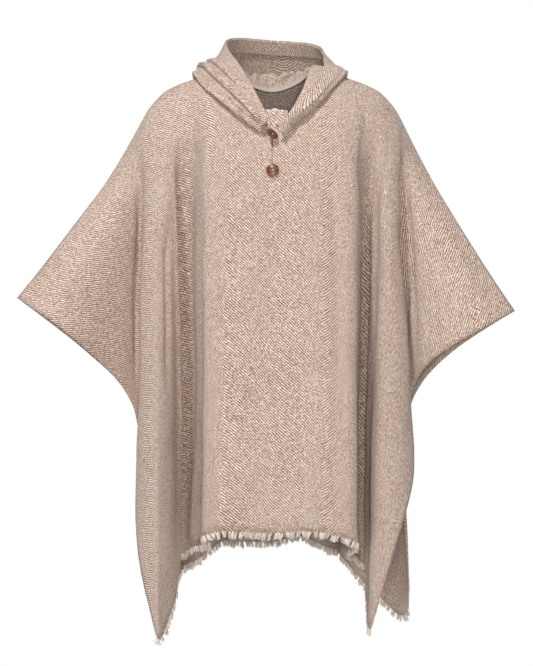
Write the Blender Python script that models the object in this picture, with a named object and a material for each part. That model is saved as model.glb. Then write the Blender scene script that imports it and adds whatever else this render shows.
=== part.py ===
# A hooded wool poncho as worn, with no wearer: one woven rectangle over the shoulders,
# a hood thrown back, a buttoned neck slit and short self fringe on both hems.
# X runs to the viewer's right, Y to the back and Z up. Lengths are metres.
# The origin is the middle of the shoulder line, where the wearer holds the garment up.
import math

import bmesh
import bpy
import numpy as np
from mathutils import Vector
from mathutils.bvhtree import BVHTree

for old in list(bpy.data.objects):
    bpy.data.objects.remove(old, do_unlink=True)

WALL = 0.0025            # cloth thickness
GAP = 0.0003             # clearance between sewn pieces
HALF_WIDTH = 0.690       # neck centre to selvedge, along the cloth
FRONT_LENGTH = 0.895     # shoulder line to front hem, along the cloth
BACK_LENGTH = 0.935      # shoulder line to back hem
NECK_HALF = 0.078        # half width of the neck hole
NECK_FRONT = 0.158       # depth of the neck hole in front of the shoulder line
NECK_BACK = 0.066        # depth of the neck hole behind it
SLIT_END = 0.262         # front slit ends here, measured from the shoulder line
SLIT_OPEN = 0.0005       # half the gap between the slit's edges
FRINGE_STRIP = 0.005     # solid strip above the fringe
FRINGE_LONG = 0.016      # fringe length below the strip
LOCKS = 62               # locks on each hem
BIAS_GIVE = 0.035        # stretch of the front where it hangs on the bias, at its corners
BUTTON_D = 0.023
BUTTON_T = 0.0036

# Shoulder line, from the neck centre out: distance along the cloth, x and z.
SHOULDER = (
    # along, x, z
    (0.000, 0.000, 0.032),
    (0.078, 0.077, 0.036),
    (0.147, 0.145, 0.019),
    (0.198, 0.192, 0.000),
    (0.227, 0.214, -0.019),
    (0.250, 0.229, -0.037),
    (0.262, 0.235, -0.047),
    (0.272, 0.240, -0.056),
)

# How each stretch of cloth hangs, from the centre out to the arm line.
# start: where its straight line leaves the shoulder line; turn: its angle from straight
# down in the flat cloth; aside and out: where it points, sideways and away from the body;
# deep: how far the chest or back pushes it out; n: columns of faces up to the next row.
FRONT_RIGHT = (
    # name, start, turn, aside, out, deep, n
    ("centre", 0.000, 0.0, 0.000, 0.015, 0.120, 3),
    ("beside the slit", 0.045, 0.0, 0.002, 0.012, 0.120, 3),
    ("soft wave", 0.100, 0.5, 0.008, 0.034, 0.118, 2),
    ("panel edge", 0.148, 2.5, 0.022, 0.030, 0.110, 3),
    ("turn behind the panel", 0.172, 8.0, -0.046, -0.055, 0.096, 3),
    ("recess floor", 0.190, 14.5, -0.014, -0.185, 0.082, 3),
    ("roll inner wall", 0.204, 20.5, -0.020, -0.080, 0.076, 2),
    ("corner", 0.216, 26.5, -0.036, 0.020, 0.070, 2),
    ("roll front", 0.230, 32.5, -0.012, 0.085, 0.065, 2),
    ("roll outer edge", 0.239, 39.5, 0.064, 0.030, 0.060, 3),
    ("pleat behind", 0.243, 50.0, 0.042, -0.070, 0.055, 3),
    ("sleeve crease", 0.247, 60.0, 0.078, -0.022, 0.050, 2),
    ("lower sleeve", 0.252, 69.0, 0.136, 0.110, 0.045, 2),
    ("upper sleeve", 0.257, 79.0, 0.306, 0.210, 0.040, 3),
    ("arm line", 0.263, 90.0, 0.484, 0.210, 0.036, 0),
)
FRONT_LEFT = (
    # name, start, turn, aside, out, deep, n
    ("centre", 0.000, 0.0, 0.000, 0.015, 0.120, 3),
    ("beside the slit", 0.045, 0.0, 0.003, 0.020, 0.120, 3),
    ("panel edge", 0.108, 1.5, 0.036, 0.030, 0.115, 3),
    ("turn behind the panel", 0.136, 6.5, -0.036, -0.040, 0.102, 3),
    ("recess floor", 0.160, 11.5, 0.008, -0.140, 0.088, 3),
    ("roll inner wall", 0.178, 16.0, 0.002, -0.060, 0.080, 2),
    ("roll inner edge", 0.192, 20.5, -0.016, 0.030, 0.074, 2),
    ("corner", 0.212, 25.5, 0.002, 0.095, 0.069, 2),
    ("curl", 0.230, 29.0, -0.010, 0.092, 0.065, 2),
    ("roll outer edge", 0.244, 33.5, 0.036, 0.050, 0.061, 2),
    ("wrap", 0.249, 40.0, 0.026, -0.045, 0.057, 3),
    ("sleeve crease", 0.253, 50.5, 0.034, -0.040, 0.052, 2),
    ("lower sleeve", 0.257, 60.5, 0.113, 0.040, 0.047, 2),
    ("middle sleeve", 0.261, 70.0, 0.244, 0.220, 0.042, 2),
    ("upper sleeve", 0.265, 80.0, 0.400, 0.320, 0.038, 2),
    ("arm line", 0.270, 90.0, 0.526, 0.310, 0.036, 0),
)
BACK_RIGHT = (
    # name, start, turn, aside, out, deep, n
    ("centre", 0.000, 0.0, 0.000, 0.030, 0.125, 3),
    ("first wave", 0.060, 1.0, 0.000, 0.085, 0.122, 3),
    ("first hollow", 0.100, 5.0, 0.004, -0.014, 0.118, 4),
    ("second wave", 0.135, 11.0, -0.006, 0.145, 0.110, 4),
    ("second hollow", 0.165, 16.0, 0.008, 0.005, 0.100, 4),
    ("roll inner wall", 0.198, 21.0, 0.010, 0.145, 0.086, 3),
    ("corner", 0.222, 26.0, 0.058, 0.060, 0.074, 2),
    ("roll outer edge", 0.238, 33.5, 0.036, 0.030, 0.064, 3),
    ("pleat behind", 0.243, 43.0, 0.026, -0.040, 0.058, 3),
    ("sleeve crease", 0.247, 54.0, 0.074, 0.050, 0.050, 3),
    ("lower sleeve", 0.252, 66.0, 0.180, -0.060, 0.045, 2),
    ("upper sleeve", 0.257, 78.0, 0.330, -0.130, 0.040, 2),
    ("arm line", 0.263, 90.0, 0.484, -0.210, 0.036, 0),
)
BACK_LEFT = (
    # name, start, turn, aside, out, deep, n
    ("centre", 0.000, 0.0, 0.000, 0.030, 0.125, 3),
    ("first hollow", 0.060, 1.0, 0.004, -0.010, 0.122, 3),
    ("first wave", 0.100, 4.5, 0.000, 0.100, 0.118, 3),
    ("second hollow", 0.138, 9.5, 0.004, -0.015, 0.110, 4),
    ("second wave", 0.170, 14.5, 0.006, 0.140, 0.100, 4),
    ("roll inner wall", 0.200, 20.0, 0.000, -0.005, 0.086, 3),
    ("corner", 0.226, 26.0, -0.006, 0.145, 0.074, 3),
    ("roll outer edge", 0.244, 33.5, 0.022, 0.040, 0.064, 3),
    ("pleat behind", 0.250, 42.0, 0.022, -0.030, 0.058, 3),
    ("sleeve crease", 0.255, 51.0, 0.044, 0.050, 0.050, 3),
    ("lower sleeve", 0.260, 63.0, 0.160, -0.070, 0.045, 2),
    ("upper sleeve", 0.265, 77.0, 0.370, -0.210, 0.040, 2),
    ("arm line", 0.270, 90.0, 0.526, -0.310, 0.036, 0),
)

# Faces down each straight line, closer together where the shoulder rounds.
ROWS = (0.0, 0.03, 0.07, 0.115, 0.17, 0.24, 0.33, 0.46, 0.62, 0.81, 1.0)


def through(table, u):
    """Columns 1 onward of a table at row numbers u, on a smooth curve through the rows."""
    rows = np.array([r[1:] for r in table], float)
    last = len(rows) - 1
    u = np.clip(np.atleast_1d(np.asarray(u, float)), 0, last)
    i = np.minimum(u.astype(int), last - 1)
    f = (u - i)[:, None]
    a, b = rows[i], rows[i + 1]
    before = np.where((i > 0)[:, None], rows[np.maximum(i - 1, 0)], 2 * a - b)
    after = np.where((i < last - 1)[:, None], rows[np.minimum(i + 2, last)], 2 * b - a)
    ma, mb = 0.5 * (b - before), 0.5 * (after - a)
    f2, f3 = f * f, f * f * f
    return (2 * f3 - 3 * f2 + 1) * a + (f3 - 2 * f2 + f) * ma + (3 * f2 - 2 * f3) * b + (f3 - f2) * mb


def shoulder(along):
    """The shoulder line at a signed distance along the cloth."""
    rows = np.array(SHOULDER)
    at = np.interp(np.abs(along), rows[:, 0], np.arange(len(rows)))
    xz = through(SHOULDER, at)
    return np.sign(along) * xz[:, 0], xz[:, 1]


def smooth(x, low, high):
    f = np.clip((x - low) / (high - low), 0.0, 1.0)
    return f * f * (3 - 2 * f)


def bend_table():
    """Height lost while the cloth rounds the shoulder, for a unit run."""
    q = np.linspace(0, 1, 201)
    lean = (1 - q) ** 1.5
    lost = 1 - np.sqrt(1 - lean ** 2)
    return q, np.concatenate(([0.0], np.cumsum(0.5 * (lost[1:] + lost[:-1]) * np.diff(q))))


BEND = bend_table()


def joined(left, right):
    """One table from the left arm line to the right, with aside and start signed."""
    mirrored = [(r[0], -r[1], -r[2], -r[3]) + r[4:6] for r in reversed(left)]
    return mirrored[:-1] + [r[:6] for r in right]


def half_at(turn, extra):
    """Neck centre to selvedge; the back is a little wider low on the sleeve."""
    return HALF_WIDTH + extra * (turn < 0) * (1 - np.abs(np.sin(turn))) * np.abs(np.sin(2 * turn))


def reach(table, u, length, extra):
    """Length of the straight line at u, down to the hem or out to the selvedge."""
    c = through(table, u)
    start, turn = c[:, 0], np.radians(c[:, 1])
    to_hem = length / np.maximum(np.cos(turn), 1e-6)
    to_side = (half_at(turn, extra) - np.abs(start)) / np.maximum(np.abs(np.sin(turn)), 1e-6)
    return np.minimum(to_hem, to_side)


def cloth(table, u, r, side):
    """Points of a panel at row numbers u and distances r down the line; side is -1 in front."""
    c = through(table, u)
    start, turn, aside, out, deep = c[:, 0], np.radians(c[:, 1]), c[:, 2], c[:, 3], c[:, 4]
    x0, z0 = shoulder(start)
    widest = np.where(start > 0, table[-1][3], -table[0][3])
    plain_x = widest * np.sign(turn) * np.abs(turn / (np.pi / 2)) ** 1.2
    grow = smooth(r, 0.02, 0.24)
    dx = plain_x + (aside - plain_x) * grow
    dy = out * grow * side
    dz = -np.sqrt(np.maximum(1 - dx ** 2 - dy ** 2, 0.01))
    down = r * np.cos(turn)
    run = 2.5 * deep
    q = np.clip(down / run, 0, 1)
    push = deep * (1 - (1 - q) ** 2.5)
    lost = run * np.interp(q, *BEND)
    give = BIAS_GIVE * (side < 0) * np.exp(-((np.abs(turn) - 0.46) / 0.16) ** 2)
    length = r * (1 + give * smooth(r, 0.3, 0.9)) - lost * np.cos(turn)
    sag = 0.015 * np.sin(np.pi * np.clip(r / 0.44, 0, 1)) * np.abs(np.sin(turn)) ** 6
    return np.stack([x0 + dx * length, dy * length + side * (push + 1.5 * GAP), z0 + dz * length - sag], 1)


def neck_depth(start, depth):
    """Depth of the neck hole: round in front and nearly straight across the back."""
    power = 0.50 if depth == NECK_BACK else 0.75
    return depth * np.clip(1 - (start / NECK_HALF) ** 2, 0, 1) ** power


def columns(left, right, length, extra):
    """Row numbers of the grid's columns, with one on each corner of the cloth."""
    table = joined(left, right)
    steps = [r[6] for r in left][:-1][::-1] + [r[6] for r in right][:-1]
    u = [0.0]
    for i, n in enumerate(steps):
        u += [i + k / n for k in range(1, n + 1)]
    u = np.array(u)
    for sign in (-1, 1):
        fine = np.linspace(0, len(table) - 1, 4001)
        c = through(table, fine)
        room = half_at(np.radians(c[:, 1]), extra) - np.abs(c[:, 0])
        over = np.tan(np.radians(np.abs(c[:, 1]))) * length - room
        ok = (np.sign(c[:, 1]) == sign) & (np.abs(c[:, 1]) < 60) & (np.abs(c[:, 1]) > 10)
        where = fine[ok][np.argmin(np.abs(over[ok]))]
        u[np.argmin(np.abs(u - where))] = where
    # columns on the edges of the neck hole
    for sign in (-1, 1):
        fine = np.linspace(0, len(table) - 1, 4001)
        start = through(table, fine)[:, 0]
        where = fine[np.argmin(np.abs(start - sign * NECK_HALF))]
        u[np.argmin(np.abs(u - where))] = where
    return table, u


def u_start(table, u):
    return through(table, [u])[0, 0]


def grid_faces(nu, nv, base=0):
    return [(base + i * nv + j, base + i * nv + j + 1, base + (i + 1) * nv + j + 1, base + (i + 1) * nv + j)
            for i in range(nu - 1) for j in range(nv - 1)]


def triangles(points, faces):
    """Splits four-sided faces along their shorter diagonal and others as a fan."""
    out = []
    for f in faces:
        if len(f) == 4:
            a, b, c, d = f
            if np.linalg.norm(points[a] - points[c]) <= np.linalg.norm(points[b] - points[d]):
                out += [(a, b, c), (a, c, d)]
            else:
                out += [(a, b, d), (b, c, d)]
        else:
            out += [(f[1], f[k], f[(k + 1) % len(f)]) for k in range(2, len(f))]
    return out


def wall_mesh(name, points, faces, thick=WALL, shift=0.0, level=()):
    """A closed wall around a sheet: its points moved to both sides along their normals."""
    points = np.asarray(points, float)
    faces = triangles(points, faces)
    normal = np.zeros_like(points)
    for f in faces:
        p = points[list(f)]
        n = np.zeros(3)
        for k in range(len(p)):
            n += np.cross(p[k], p[(k + 1) % len(p)])
        for k in f:
            normal[k] += n
    for k in level:
        normal[k, 1] = 0.0
    normal /= np.maximum(np.linalg.norm(normal, axis=1), 1e-12)[:, None]
    outer = points + normal * (shift + thick / 2)
    inner = points + normal * (shift - thick / 2)
    count = len(points)
    solid = [tuple(f) for f in faces] + [tuple(count + k for k in reversed(f)) for f in faces]
    edges = {}
    for f in faces:
        for k in range(len(f)):
            a, b = f[k], f[(k + 1) % len(f)]
            edges[(a, b)] = edges.get((a, b), 0) + 1
    for a, b in edges:
        if (b, a) not in edges:
            solid.append((b, a, count + a, count + b))
    mesh = bpy.data.meshes.new(name)
    mesh.from_pydata(np.vstack([outer, inner]).tolist(), [], solid)
    mesh.validate()
    bm = bmesh.new()
    bm.from_mesh(mesh)
    bmesh.ops.remove_doubles(bm, verts=bm.verts, dist=1e-7)
    bmesh.ops.recalc_face_normals(bm, faces=bm.faces)
    if bm.calc_volume(signed=True) < 0:
        bmesh.ops.reverse_faces(bm, faces=bm.faces)
    bm.to_mesh(mesh)
    bm.free()
    mesh.shade_smooth()
    mesh.set_sharp_from_angle(angle=math.radians(50))
    obj = bpy.data.objects.new(name, mesh)
    bpy.context.collection.objects.link(obj)
    return obj


def material(name, colour, rough, metallic=0.0):
    mat = bpy.data.materials.new(name)
    mat.use_nodes = True
    shader = mat.node_tree.nodes["Principled BSDF"]
    shader.inputs["Base Color"].default_value = (*colour, 1)
    shader.inputs["Roughness"].default_value = rough
    shader.inputs["Metallic"].default_value = metallic
    return mat


WOOL = material("tweed wool", (0.50, 0.40, 0.34), 0.95)
HORN = material("polished brown button", (0.17, 0.055, 0.02), 0.25)


def panel_points(table, u, rows, length, neck, side, extra):
    """A panel's grid: columns u, rows as shares of each straight line."""
    out = []
    ends = reach(table, u, length, extra)
    start = through(table, u)[:, 0]
    first = np.where(np.abs(start) < NECK_HALF, neck_depth(start, neck), 0.0) + GAP / 2
    for k in range(len(u)):
        r = first[k] + np.array(rows) * (ends[k] - first[k])
        out.append(cloth(table, np.full(len(rows), u[k]), r, side))
    return soften(np.array(out), start)


def soften(grid, start):
    """Rounds the folds by easing each column toward its neighbours, but not at the neck."""
    free = smooth(np.abs(start), NECK_HALF, 1.3 * NECK_HALF)[1:-1, None, None]
    for turn in range(2):
        ease = 0.25 * (grid[:-2] + grid[2:]) - 0.5 * grid[1:-1]
        ease[:, 0] = 0.0
        grid[1:-1] += free * ease
    return grid


def front_panel():
    table, u = columns(FRONT_LEFT, FRONT_RIGHT, FRONT_LENGTH, 0.0)
    p = panel_points(table, u, ROWS, FRONT_LENGTH, NECK_FRONT, -1, 0.0)
    nv = len(ROWS)
    middle = int(np.argmin(np.abs(u - (len(FRONT_LEFT) - 1))))
    slit = middle + 1 if p[middle, 5, 0] < 0.004 else middle
    left, right = p[:slit + 1], p[slit:]
    return table, u, left, right, nv, slit


def build_front():
    table, u, left, right, nv, slit = front_panel()
    start = through(table, u[slit:slit + 1])[0, 0]
    top = neck_depth(start, NECK_FRONT)
    ends = reach(table, u[slit:slit + 1], FRONT_LENGTH, 0.0)[0]
    depth = top + np.array(ROWS) * (ends - top)
    cut = [j for j in range(nv) if depth[j] < SLIT_END - 0.01]
    points = [tuple(q) for col in left for q in col]
    shared = {}
    base = len(points)
    edge = len(left) - 1
    for j in range(nv):
        if j in cut:
            fade = min(1.0, (SLIT_END - depth[j]) / 0.05)
            q = np.array(points[edge * nv + j])
            points[edge * nv + j] = (q[0] - SLIT_OPEN, q[1] - 0.0012 * fade, q[2])
            shared[j] = len(points)
            points.append((q[0] + SLIT_OPEN, q[1] + 0.0008 * fade, q[2]))
        else:
            shared[j] = edge * nv + j
    base = len(points)
    points += [tuple(q) for col in right[1:] for q in col]

    def at(i, j):
        return shared[j] if i == 0 else base + (i - 1) * nv + j

    faces = grid_faces(len(left), nv)
    faces += [(at(i, j), at(i, j + 1), at(i + 1, j + 1), at(i + 1, j))
              for i in range(len(right) - 1) for j in range(nv - 1)]
    beyond = 0.9 * NECK_HALF
    near = [i * nv for i in range(len(left)) if abs(u_start(table, u[i])) > beyond]
    near += [base + i * nv for i in range(len(right) - 1)
             if abs(u_start(table, u[slit + 1 + i])) > beyond]
    near += list(range(nv)) + [base + (len(right) - 2) * nv + j for j in range(nv)]
    obj = wall_mesh("front", points, faces, level=near)
    obj.data.materials.append(WOOL)
    return table, u, np.concatenate([left, right[1:]])


def build_back():
    table, u = columns(BACK_LEFT, BACK_RIGHT, BACK_LENGTH, 0.015)
    p = panel_points(table, u, ROWS, BACK_LENGTH, NECK_BACK, 1, 0.015)
    faces = grid_faces(len(u), len(ROWS))
    nv = len(ROWS)
    near = [i * nv for i in range(len(u)) if abs(u_start(table, u[i])) > 0.9 * NECK_HALF]
    near += list(range(nv)) + [(len(u) - 1) * nv + j for j in range(nv)]
    obj = wall_mesh("back", p.reshape(-1, 3), faces, level=near)
    obj.data.materials.append(WOOL)
    return table, u, p


def fringe(name, grid, table, u, length, extra, seed, below, thick):
    """A narrow strip just below a panel's hem, with locks hanging from it."""
    c = through(table, u)
    turn = np.radians(c[:, 1])
    spare = half_at(turn, extra) - np.abs(c[:, 0]) - np.tan(np.abs(turn)) * length
    on_hem = np.nonzero((spare > -1e-3) & (np.abs(c[:, 1]) < 45))[0]
    hem, above = grid[on_hem, -1], grid[on_hem, -2]
    fall = hem - above
    fall /= np.linalg.norm(fall, axis=1)[:, None]
    along = np.concatenate(([0.0], np.cumsum(np.linalg.norm(np.diff(hem, axis=0), axis=1))))
    chance = np.random.default_rng(seed)
    cuts = [0.05 * along[-1] / LOCKS]
    for k in range(LOCKS):
        cuts += [(k + 0.17) / LOCKS * along[-1], (k + 0.83) / LOCKS * along[-1]]
    cuts = np.array(cuts[1:])
    for bend in along:
        near = np.argmin(np.abs(cuts - bend))
        if abs(cuts[near] - bend) < 0.002:
            cuts[near] = bend
    inside = along[(along > cuts[0]) & (along < cuts[-1])]
    places = np.unique(np.concatenate([cuts, inside]))
    edge = np.stack([np.interp(places, along, hem[:, k]) for k in range(3)], 1)
    down = np.stack([np.interp(places, along, fall[:, k]) for k in range(3)], 1)
    tangent = np.gradient(edge, places, axis=0)
    tangent /= np.linalg.norm(tangent, axis=1)[:, None]
    down -= tangent * np.sum(down * tangent, axis=1)[:, None]
    down /= np.linalg.norm(down, axis=1)[:, None]
    top = edge + down * below
    low = top + down * FRINGE_STRIP
    points = [tuple(q) for q in np.concatenate([top, low])]
    n = len(places)
    faces = [(i, n + i, n + i + 1, i + 1) for i in range(n - 1)]
    roots = np.searchsorted(places, cuts)
    for k in range(LOCKS):
        a, b = roots[2 * k], roots[2 * k + 1]
        pa, pb = low[a], low[b]
        fall_here = 0.5 * (down[a] + down[b])
        across = (pb - pa) / max(np.linalg.norm(pb - pa), 1e-9)
        long = FRINGE_LONG * chance.uniform(0.72, 1.12)
        lean = chance.uniform(-0.22, 0.22)
        middle = 0.5 * (pa + pb) + fall_here * long + across * lean * long
        tip = 0.24 * (pb - pa)
        points += [tuple(middle - tip), tuple(middle + tip)]
        between = [n + i for i in range(b - 1, a, -1)]
        faces.append((n + a, len(points) - 2, len(points) - 1, n + b, *between))
    obj = wall_mesh(name, points, faces, thick=thick)
    obj.data.materials.append(WOOL)


# Sections of the hood, from its right front end round the back to its left front end.
# bearing: where on the neck hole the section is sewn; fold: its lowest fold; rim: the face
# edge; lift: how far the cloth first stands up; belly: how far the outer side swells.
HOOD = (
    # name, bearing, fold_x, fold_y, fold_z, rim_x, rim_y, rim_z, lift, belly
    ("right end", -84.0, 0.024, -0.120, -0.098, 0.010, -0.127, -0.082, 0.005, 0.001),
    ("right throat", -68.0, 0.048, -0.116, -0.068, 0.034, -0.122, -0.050, 0.005, 0.003),
    ("right front", -46.0, 0.084, -0.100, -0.036, 0.066, -0.096, -0.016, 0.006, 0.005),
    ("right shoulder", -22.0, 0.122, -0.052, 0.004, 0.090, -0.046, 0.022, 0.007, 0.006),
    ("right side", 8.0, 0.143, 0.012, 0.028, 0.096, 0.022, 0.060, 0.009, 0.010),
    ("right back", 44.0, 0.112, 0.112, -0.060, 0.089, 0.096, 0.097, 0.020, 0.024),
    ("back", 90.0, 0.000, 0.168, -0.165, 0.002, 0.132, 0.107, 0.030, 0.034),
    ("left back", 136.0, -0.118, 0.112, -0.060, -0.087, 0.096, 0.110, 0.020, 0.024),
    ("left side", 172.0, -0.149, 0.010, 0.028, -0.077, 0.046, 0.073, 0.008, 0.010),
    ("left shoulder", 200.0, -0.131, -0.050, 0.004, -0.067, -0.014, 0.055, 0.005, 0.008),
    ("left front", 224.0, -0.096, -0.094, -0.030, -0.043, -0.070, 0.012, 0.005, 0.006),
    ("left throat", 247.0, -0.056, -0.116, -0.062, -0.020, -0.108, -0.034, 0.006, 0.003),
    ("left end", 264.0, -0.022, -0.122, -0.086, -0.006, -0.126, -0.062, 0.005, 0.001),
)
HOOD_AT = (0, 0.7, 1, 1.25, 1.6, 2.1, 2.6, 3, 3.35, 3.65, 4, 4.3, 4.6, 4.9, 5.2, 5.5, 5.75, 6)
FOLD_ROUND = 0.0050       # radius of the hood's lower fold
LAYERS_APART = 0.0085     # least distance between the hood's two layers
HOOD_COLUMNS = 46
PLACKET_IN = (0.0110, 0.0090, 0.0058, 0.0037, 0.0026)   # how far behind the front it lies, row by row
RIPPLE = 0.0045            # height of the soft folds on the hood's left


def neck_line(bearing, tables):
    """The body's neck edge at a bearing in degrees, 0 to the right and 90 at the back."""
    b = np.radians(np.atleast_1d(bearing))
    out = np.zeros((len(b), 3))
    for side, depth, table in ((-1, NECK_FRONT, tables[0]), (1, NECK_BACK, tables[1])):
        pick = (np.sin(b) < 0) if side < 0 else (np.sin(b) >= 0)
        start = NECK_HALF * np.cos(b[pick])
        fine = np.linspace(0, len(table) - 1, 4001)
        u = np.interp(start, through(table, fine)[:, 0], fine)
        out[pick] = cloth(table, u, neck_depth(start, depth), side)
    return out


def hood_points(tables, nu=HOOD_COLUMNS, at=HOOD_AT):
    u = np.linspace(0, len(HOOD) - 1, nu)
    c = through(HOOD, u)
    seam = neck_line(c[:, 0], tables)
    middle = np.array([0.0, -0.015])
    inward = middle - seam[:, :2]
    inward /= np.linalg.norm(inward, axis=1)[:, None]
    seam[:, :2] += inward * 0.0045
    seam[:, 2] += 0.001
    fold, rim = c[:, 1:4], c[:, 4:7]
    lift, belly = c[:, 7], c[:, 8]
    away = np.stack([fold[:, 0] - middle[0], fold[:, 1] - middle[1], np.zeros(nu)], 1)
    away /= np.linalg.norm(away, axis=1)[:, None]
    up = np.array([0.0, 0.0, 1.0])
    crest = seam + up * lift[:, None] + away * (0.30 * lift + 0.0035)[:, None]
    lower = 0.5 * (crest + fold) + away * (0.1 * lift)[:, None] + up * (0.25 * lift)[:, None]
    swell = 0.45 * fold + 0.55 * rim + away * belly[:, None]
    grid, sides = [], []
    for k in range(nu):
        fall = fold[k] - crest[k]
        fall /= np.linalg.norm(fall)
        out = up * fall.dot(away[k]) - away[k] * fall[2]
        out /= np.linalg.norm(out)
        radius = FOLD_ROUND + 0.12 * belly[k]
        under = fold[k] - radius * (fall + 0.8 * out)
        over = fold[k] - radius * (fall - 1.2 * out)
        rows = [("", *p) for p in (seam[k], crest[k], lower[k], under, over, swell[k], rim[k])]
        grid.append(through(rows, at))
        sides.append(out)
    return np.array(grid), u, np.array(sides)


def clear_of(grid, panels, gaps):
    """Moves points out along the panels' normals until each row keeps its gap to them."""
    verts, faces = [], []
    for panel, side in panels:
        base, (nu, nv) = len(verts), panel.shape[:2]
        verts += [tuple(q) for q in panel.reshape(-1, 3)]
        quads = grid_faces(nu, nv, base)
        faces += [f if side > 0 else f[::-1] for f in quads]
    tree = BVHTree.FromPolygons(verts, faces)
    centre = Vector((0.0, 0.0, -0.15))
    for row in grid:
        for j, gap in enumerate(gaps):
            if gap <= 0:
                continue
            for turn in range(3):
                near, normal, index, far = tree.find_nearest(Vector(row[j]))
                if normal.dot(near - centre) < 0:
                    normal = -normal
                short = gap - (Vector(row[j]) - near).dot(normal)
                if short > 0:
                    row[j] += np.array(normal) * short
    return grid


def part_layers(grid, sides, at):
    """Keeps the hood's outer layer off its inner layer, section by section, then eases it."""
    inner = np.nonzero(at <= 3.0)[0]
    first = int(np.argmax(at >= 4.0))
    for turn in range(4):
        if turn > 0:
            ease = grid[:, first - 1:-2] + grid[:, first + 1:] - 2 * grid[:, first:-1]
            grid[:, first:-1] += 0.25 * ease
            ease = grid[:-2, first:] + grid[2:, first:] - 2 * grid[1:-1, first:]
            grid[1:-1, first:] += 0.25 * ease
        for k in range(len(grid)):
            line = grid[k][inner]
            fine = np.concatenate([line[i] + (line[i + 1] - line[i]) * np.linspace(0, 1, 9)[:, None]
                                   for i in range(len(line) - 1)])
            for j in range(first, len(at)):
                need = LAYERS_APART * min(1.0, 0.85 + 0.15 * (at[j] - 4.0))
                near = fine[np.argmin(np.linalg.norm(fine - grid[k, j], axis=1))]
                short = need - (grid[k, j] - near).dot(sides[k])
                if short > 0 and np.linalg.norm(near - grid[k, j]) < need:
                    grid[k, j] += sides[k] * short
    return grid


def ripples(grid, u, at):
    """Three soft folds on the left of the hood, along its lower fold."""
    outer = np.clip((np.array(at) - 4.0) / 2.0, 0, 1)
    wave = 0.5 - 0.5 * np.cos(outer * 2 * math.pi * 3)
    left = smooth(u, 7.2, 8.6) * (1 - smooth(u, 10.4, 11.6))
    across = np.array([-0.40, -0.55, 0.73])
    for i in range(len(u)):
        grid[i] += left[i] * RIPPLE * wave[:, None] * across
    return grid


def build_hood(tables, panels):
    grid, u, sides = hood_points(tables)
    at = np.array(HOOD_AT, float)
    apart = np.interp(at, (1, 2.8, 3.2, 3.8, 6), (0.0034, 0.0036, 0.004, 0.009, 0.011))
    gaps = np.where(at < 0.9, 0.0, apart)
    grid = clear_of(grid, panels, gaps)
    grid = part_layers(grid, sides, at)
    grid = ripples(grid, u, HOOD_AT)
    faces = grid_faces(HOOD_COLUMNS, len(HOOD_AT))
    obj = wall_mesh("hood", grid.reshape(-1, 3), faces)
    obj.data.materials.append(WOOL)
    return grid, u


def build_hood_hem(grid, wide=0.030, thick=0.0018):
    """The hood's face edge turned inward: the band's points are the hood's, moved inward."""
    normal = np.cross(np.gradient(grid, axis=0), np.gradient(grid, axis=1))
    normal /= np.linalg.norm(normal, axis=2)[:, :, None]
    band = []
    for k in range(1, len(grid) - 1):
        back = grid[k, ::-1]
        along = np.concatenate(([0.0], np.cumsum(np.linalg.norm(np.diff(back, axis=0), axis=1))))
        for far in np.linspace(0.002, min(wide, 0.42 * along[7]), 4):
            q = np.array([np.interp(far, along, back[:, i]) for i in range(3)])
            n = np.array([np.interp(far, along, normal[k, ::-1, i]) for i in range(3)])
            band.append(q - n / np.linalg.norm(n) * (WALL / 2 + 3.8 * GAP + thick / 2))
    obj = wall_mesh("hood_hem", band, grid_faces(len(grid) - 2, 4), thick=thick)
    obj.data.materials.append(WOOL)


def build_placket(table, u, grid, thick=0.0020):
    """The strip behind the front slit, standing up inside the neck above the front panel."""
    normal = np.cross(np.gradient(grid, axis=0), np.gradient(grid, axis=1))
    normal *= np.sign(normal[:, :, 1:2])
    normal /= np.linalg.norm(normal, axis=2)[:, :, None]
    middle = int(np.argmin(np.abs(through(table, u)[:, 0])))
    points = []
    for k in range(middle - 1, middle + 3):
        start = through(table, u[k:k + 1])[0, 0]
        wave = 0.004 * math.cos(90 * start)
        free = cloth(table, np.full(3, u[k]), np.array((0.119 - wave, 0.129, 0.140)), -1)
        points += [tuple(q) for q in free + np.array((0.0, PLACKET_IN[0], 0.0))]
        points += [tuple(grid[k, j] + normal[k, j] * PLACKET_IN[j]) for j in range(5)]
    obj = wall_mesh("placket", points, grid_faces(4, 8), thick=thick)
    obj.data.materials.append(WOOL)


def button(name, centre, facing):
    """A turned button: a dished face with a raised edge and a rounded back."""
    r, t = BUTTON_D / 2, BUTTON_T
    profile = ((0.0, 0.30 * t), (0.30 * r, 0.30 * t), (0.62 * r, 0.42 * t), (0.80 * r, 0.50 * t),
               (0.93 * r, 0.42 * t), (r, 0.10 * t), (0.97 * r, -0.16 * t), (0.70 * r, -0.44 * t),
               (0.0, -0.50 * t))
    bm = bmesh.new()
    ring = [bm.verts.new((x, 0, z)) for x, z in profile]
    for a, b in zip(ring, ring[1:]):
        bm.edges.new((a, b))
    bmesh.ops.spin(bm, geom=bm.verts[:] + bm.edges[:], cent=(0, 0, 0), axis=(0, 0, 1),
                   angle=2 * math.pi, steps=20, use_merge=True)
    bmesh.ops.remove_doubles(bm, verts=bm.verts, dist=1e-6)
    bmesh.ops.recalc_face_normals(bm, faces=bm.faces)
    mesh = bpy.data.meshes.new(name)
    bm.to_mesh(mesh)
    bm.free()
    mesh.shade_smooth()
    mesh.set_sharp_from_angle(angle=math.radians(50))
    obj = bpy.data.objects.new(name, mesh)
    bpy.context.collection.objects.link(obj)
    n = np.array(facing) / np.linalg.norm(facing)
    obj.rotation_mode = "QUATERNION"
    obj.rotation_quaternion = Vector((0, 0, 1)).rotation_difference(Vector(n.tolist()))
    obj.location = centre
    mesh.materials.append(HORN)


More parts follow.
